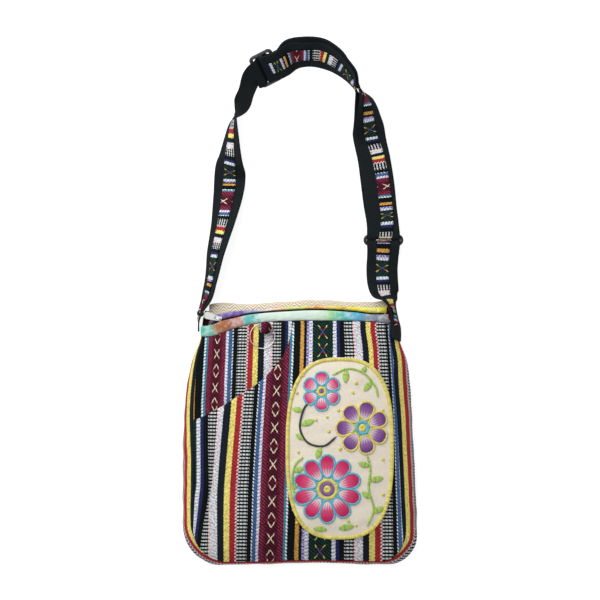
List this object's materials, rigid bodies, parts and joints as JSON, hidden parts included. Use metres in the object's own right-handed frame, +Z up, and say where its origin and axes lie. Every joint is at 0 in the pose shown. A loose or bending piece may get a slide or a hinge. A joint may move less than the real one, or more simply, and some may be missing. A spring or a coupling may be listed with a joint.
{
  "type": "file bag",
  "caption": "Striped woven cotton file bag on its back: zipped mouth with pull, slanted front pocket with flower applique, side gusset, and a banded shoulder strap with ring and slider.",
  "frame": {"origin": "middle of the object's plan, on the surface that it lies on", "axes": "+Z up from the surface to the front of the bag, +Y from the body to the strap, +X to the right when the front is seen with the mouth at the top"},
  "size_m": [0.2982, 0.6691, 0.0586],
  "materials": {
    "striped_cotton": "matte hand-woven stripes",
    "cream_herringbone": "matte herringbone",
    "tie_dyed_cotton": "matte tie-dyed",
    "zip_tape": "matte woven tape",
    "white_metal": "polished plating",
    "black_bead": "glossy",
    "button_cloth": "matte woven",
    "steel_wire": "bright wire",
    "cream_twill": "matte twill",
    "petal_cloth": "matte with satin stitching",
    "black_cotton_strap": "matte cotton",
    "black_plastic": "satin moulded"
  },
  "bodies": {
    "bag": {"back_panel": "striped_cotton", "gusset": "striped_cotton", "front_panel": "striped_cotton", "pocket_panel": "striped_cotton", "top_facing": "cream_herringbone", "binding_back": "tie_dyed_cotton", "binding_front": "tie_dyed_cotton", "zip_tape_back": "zip_tape", "zip_tape_front": "zip_tape", "zip_slider": "white_metal", "button_ball": "button_cloth", "key_ring": "steel_wire", "applique_ground": "cream_twill", "applique_flower_large": "petal_cloth", "applique_flower_middle": "petal_cloth", "applique_flower_small": "petal_cloth", "strap_long": "black_cotton_strap", "strap_long_band": "striped_cotton", "strap_short": "black_cotton_strap", "strap_short_band": "striped_cotton", "strap_ring": "black_plastic", "strap_slider": "black_plastic"},
    "zip_pull": {"zip_pull_tab": "white_metal", "zip_pull_bead": "black_bead"}
  },
  "joints": [
    {"name": "zip_pull_swing", "type": "hinge", "parent": "bag", "child": "zip_pull", "pos_m": [-0.1035, -0.0235, 0.02505], "axis": [0.2924, 0.9563, 0], "range_deg": [0, 90]}
  ]
}
